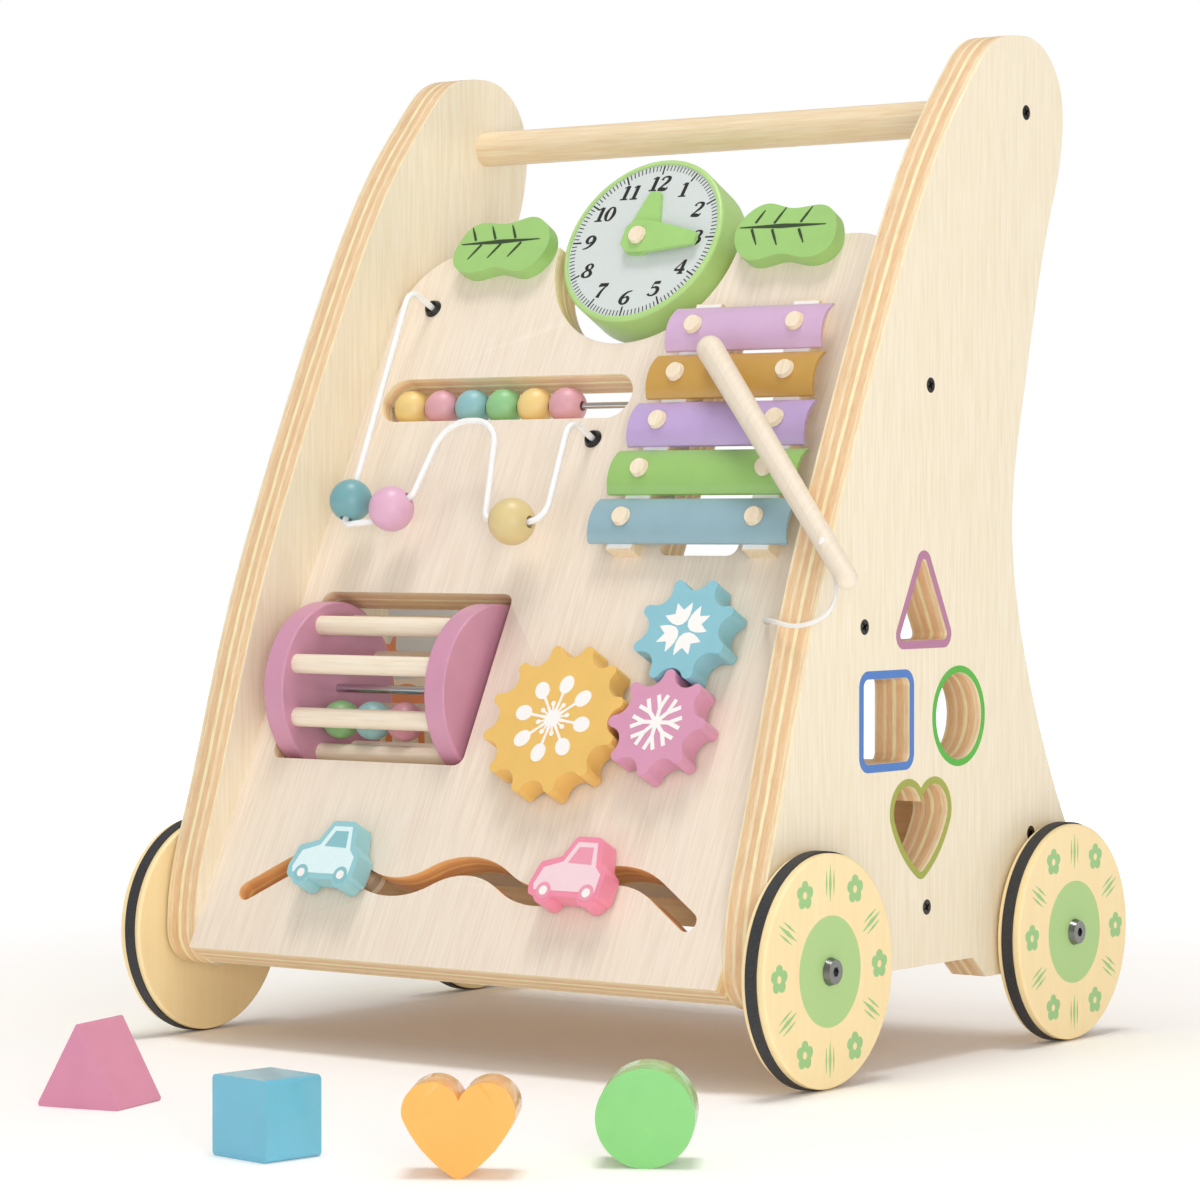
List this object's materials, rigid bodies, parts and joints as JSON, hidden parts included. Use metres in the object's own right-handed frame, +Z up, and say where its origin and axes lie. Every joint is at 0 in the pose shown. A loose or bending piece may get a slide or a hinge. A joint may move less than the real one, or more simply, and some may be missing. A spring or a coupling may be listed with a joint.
{
  "type": "baby walker",
  "caption": "Wooden push-along baby walker with a leaning play panel: clock, chimes and mallet, abacus, bead maze, drum, gears, sliding cars and a shape sorter.",
  "frame": {"origin": "on the floor, midway between the four wheels", "axes": "+Z up; -Y is the front, where the play panel faces; +Y is the child side; +X is to the right of someone looking at the play panel"},
  "size_m": [0.4308, 0.5396, 0.4575],
  "materials": {
    "birch_ply": "satin lacquered birch plywood",
    "tray_wood": "bare brown plywood",
    "birch_rod": "sanded birch",
    "black_steel": "black screws",
    "bolt_steel": "dull steel",
    "leaf_green": "satin green paint on wood",
    "peg_wood": "sanded wood",
    "chime_blue": "satin paint",
    "chime_green": "satin paint",
    "chime_purple": "satin paint",
    "chime_ochre": "satin paint",
    "chime_lilac": "satin paint",
    "mallet_wood": "sanded pale wood",
    "cord_white": "woven cord",
    "rod_steel": "polished rod",
    "bead_yellow": "satin paint on wood",
    "bead_pink": "satin paint on wood",
    "bead_teal": "satin paint on wood",
    "bead_green": "satin paint on wood",
    "wire_white": "gloss white paint",
    "grommet_black": "black",
    "drum_pink": "satin paint on wood",
    "rattle_paint": "satin paint on wood",
    "gear_yellow": "satin paint on wood",
    "gear_pink": "satin paint on wood",
    "gear_blue": "satin paint on wood",
    "car_blue": "satin paint on wood",
    "car_pink": "satin paint on wood",
    "block_pink": "satin paint on wood",
    "block_blue": "satin paint on wood",
    "block_green": "satin paint on wood",
    "block_orange": "satin paint on wood",
    "wheel_wood": "lacquered birch",
    "tyre_rubber": "matt rubber"
  },
  "bodies": {
    "frame": {"side_panel_left": "birch_ply", "side_panel_right": "birch_ply", "front_panel": "birch_ply", "bottom_board": "tray_wood", "back_board": "tray_wood", "handle_bar": "birch_rod", "panel_screws": "black_steel", "wheel_bolts": "bolt_steel", "wheel_washers": "bolt_steel", "clock_crossbar": "tray_wood", "clock_body": "leaf_green", "clock_pin": "birch_rod", "leaves": "leaf_green", "chime_rails": "birch_rod", "chime_pins": "peg_wood", "chime_bar_blue": "chime_blue", "chime_bar_green": "chime_green", "chime_bar_purple": "chime_purple", "chime_bar_ochre": "chime_ochre", "chime_bar_lilac": "chime_lilac", "mallet_cord": "cord_white", "abacus_rod": "rod_steel", "maze_wire": "wire_white", "maze_grommets": "grommet_black", "drum_axle": "rod_steel", "gear_pins": "birch_rod"},
    "wheel_front_left_assembly": {"wheel_front_left": "wheel_wood", "tyre_front_left": "tyre_rubber"},
    "wheel_front_right_assembly": {"wheel_front_right": "wheel_wood", "tyre_front_right": "tyre_rubber"},
    "wheel_rear_left_assembly": {"wheel_rear_left": "wheel_wood", "tyre_rear_left": "tyre_rubber"},
    "wheel_rear_right_assembly": {"wheel_rear_right": "wheel_wood", "tyre_rear_right": "tyre_rubber"},
    "abacus_bead_1": {"abacus_bead_1": "bead_yellow"},
    "abacus_bead_2": {"abacus_bead_2": "bead_pink"},
    "abacus_bead_3": {"abacus_bead_3": "bead_teal"},
    "abacus_bead_4": {"abacus_bead_4": "bead_green"},
    "abacus_bead_5": {"abacus_bead_5": "bead_yellow"},
    "abacus_bead_6": {"abacus_bead_6": "bead_pink"},
    "maze_bead_teal": {"maze_bead_teal": "bead_teal"},
    "maze_bead_pink": {"maze_bead_pink": "bead_pink"},
    "maze_bead_yellow": {"maze_bead_yellow": "bead_yellow"},
    "drum": {"drum_discs": "drum_pink", "drum_dowels": "birch_rod"},
    "rattle": {"rattle_balls": "rattle_paint"},
    "gear_yellow": {"gear_yellow": "gear_yellow"},
    "gear_pink": {"gear_pink": "gear_pink"},
    "gear_blue": {"gear_blue": "gear_blue"},
    "car_blue": {"car_blue": "car_blue", "car_peg_blue": "birch_rod"},
    "car_pink": {"car_pink": "car_pink", "car_peg_pink": "birch_rod"},
    "hour_hand": {"hour_hand": "leaf_green"},
    "minute_hand": {"minute_hand": "leaf_green"},
    "mallet": {"mallet": "mallet_wood"},
    "block_triangle": {"block_triangle": "block_pink"},
    "block_square": {"block_square": "block_blue"},
    "block_circle": {"block_circle": "block_green"},
    "block_heart": {"block_heart": "block_orange"}
  },
  "joints": [
    {"name": "wheel_front_left_spin", "type": "hinge", "parent": "frame", "child": "wheel_front_left_assembly", "pos_m": [-0.172, -0.1023, 0.05], "axis": [1, 0, 0], "continuous": true},
    {"name": "wheel_front_right_spin", "type": "hinge", "parent": "frame", "child": "wheel_front_right_assembly", "pos_m": [0.172, -0.1023, 0.05], "axis": [1, 0, 0], "continuous": true},
    {"name": "wheel_rear_left_spin", "type": "hinge", "parent": "frame", "child": "wheel_rear_left_assembly", "pos_m": [-0.172, 0.1023, 0.05], "axis": [1, 0, 0], "continuous": true},
    {"name": "wheel_rear_right_spin", "type": "hinge", "parent": "frame", "child": "wheel_rear_right_assembly", "pos_m": [0.172, 0.1023, 0.05], "axis": [1, 0, 0], "continuous": true},
    {"name": "abacus_6_slide", "type": "slide", "parent": "frame", "child": "abacus_bead_6", "axis": [1, 0, 0], "range_m": [0, 0.0325]},
    {"name": "abacus_1_slide", "type": "slide", "parent": "frame", "child": "abacus_bead_1", "axis": [1, 0, 0], "range_m": [0, 0.00542]},
    {"name": "abacus_2_slide", "type": "slide", "parent": "frame", "child": "abacus_bead_2", "axis": [1, 0, 0], "range_m": [0, 0.01083]},
    {"name": "abacus_3_slide", "type": "slide", "parent": "frame", "child": "abacus_bead_3", "axis": [1, 0, 0], "range_m": [0, 0.01625]},
    {"name": "abacus_4_slide", "type": "slide", "parent": "frame", "child": "abacus_bead_4", "axis": [1, 0, 0], "range_m": [0, 0.02167]},
    {"name": "abacus_5_slide", "type": "slide", "parent": "frame", "child": "abacus_bead_5", "axis": [1, 0, 0], "range_m": [0, 0.02708]},
    {"name": "maze_teal_slide", "type": "slide", "parent": "frame", "child": "maze_bead_teal", "axis": [-0.0558, 0.4533, 0.8896], "range_m": [0, 0.095]},
    {"name": "maze_pink_slide", "type": "slide", "parent": "frame", "child": "maze_bead_pink", "axis": [0.825, 0.2566, 0.5035], "range_m": [-0.0012, 0.001]},
    {"name": "maze_yellow_slide", "type": "slide", "parent": "frame", "child": "maze_bead_yellow", "axis": [0.9999, -0.0067, -0.0131], "range_m": [-0.001, 0.001]},
    {"name": "drum_spin", "type": "hinge", "parent": "frame", "child": "drum", "pos_m": [-0.079, -0.06407, 0.15982], "axis": [1, 0, 0], "continuous": true},
    {"name": "rattle_swing", "type": "hinge", "parent": "frame", "child": "rattle", "pos_m": [-0.091, -0.06407, 0.15982], "axis": [1, 0, 0], "range_deg": [-30, 30]},
    {"name": "gear_yellow_spin", "type": "hinge", "parent": "frame", "child": "gear_yellow", "pos_m": [0.0317, -0.09261, 0.14742], "axis": [0, -0.891, 0.454], "continuous": true},
    {"name": "gear_pink_spin", "type": "hinge", "parent": "frame", "child": "gear_pink", "pos_m": [0.0873, -0.09261, 0.14742], "axis": [0, -0.891, 0.454], "continuous": true},
    {"name": "gear_blue_spin", "type": "hinge", "parent": "frame", "child": "gear_blue", "pos_m": [0.0873, -0.07236, 0.18716], "axis": [0, -0.891, 0.454], "continuous": true},
    {"name": "car_blue_travel", "type": "hinge", "parent": "frame", "child": "car_blue", "pos_m": [-0.082, -0.13547, 0.05229], "axis": [0, -0.891, 0.454], "range_deg": [-13.65, 46.35]},
    {"name": "car_pink_travel", "type": "hinge", "parent": "frame", "child": "car_pink", "pos_m": [0.082, -0.13547, 0.05229], "axis": [0, -0.891, 0.454], "range_deg": [-56.56, 3.44]},
    {"name": "hour_hand_spin", "type": "hinge", "parent": "frame", "child": "hour_hand", "pos_m": [-0.006, 0.01834, 0.36957], "axis": [0, -0.891, 0.454], "continuous": true},
    {"name": "minute_hand_spin", "type": "hinge", "parent": "frame", "child": "minute_hand", "pos_m": [-0.006, 0.01834, 0.36957], "axis": [0, -0.891, 0.454], "continuous": true},
    {"name": "mallet_lift", "type": "slide", "parent": "frame", "child": "mallet", "axis": [0, -0.891, 0.454], "range_m": [0, 0.06]},
    {"name": "block_triangle_lift", "type": "slide", "parent": "frame", "child": "block_triangle", "axis": [0, 0, 1], "range_m": [0, 0.15]},
    {"name": "block_square_lift", "type": "slide", "parent": "frame", "child": "block_square", "axis": [0, 0, 1], "range_m": [0, 0.15]},
    {"name": "block_circle_lift", "type": "slide", "parent": "frame", "child": "block_circle", "axis": [0, 0, 1], "range_m": [0, 0.15]},
    {"name": "block_heart_lift", "type": "slide", "parent": "frame", "child": "block_heart", "axis": [0, 0, 1], "range_m": [0, 0.15]}
  ],
  "couplings": [
    {"joint": "gear_pink_spin", "follows": "gear_yellow_spin", "ratio": -1.5},
    {"joint": "gear_blue_spin", "follows": "gear_yellow_spin", "ratio": 1.5},
    {"joint": "abacus_1_slide", "follows": "abacus_6_slide", "ratio": 0.16667},
    {"joint": "abacus_2_slide", "follows": "abacus_6_slide", "ratio": 0.33333},
    {"joint": "abacus_3_slide", "follows": "abacus_6_slide", "ratio": 0.5},
    {"joint": "abacus_4_slide", "follows": "abacus_6_slide", "ratio": 0.66667},
    {"joint": "abacus_5_slide", "follows": "abacus_6_slide", "ratio": 0.83333}
  ]
}
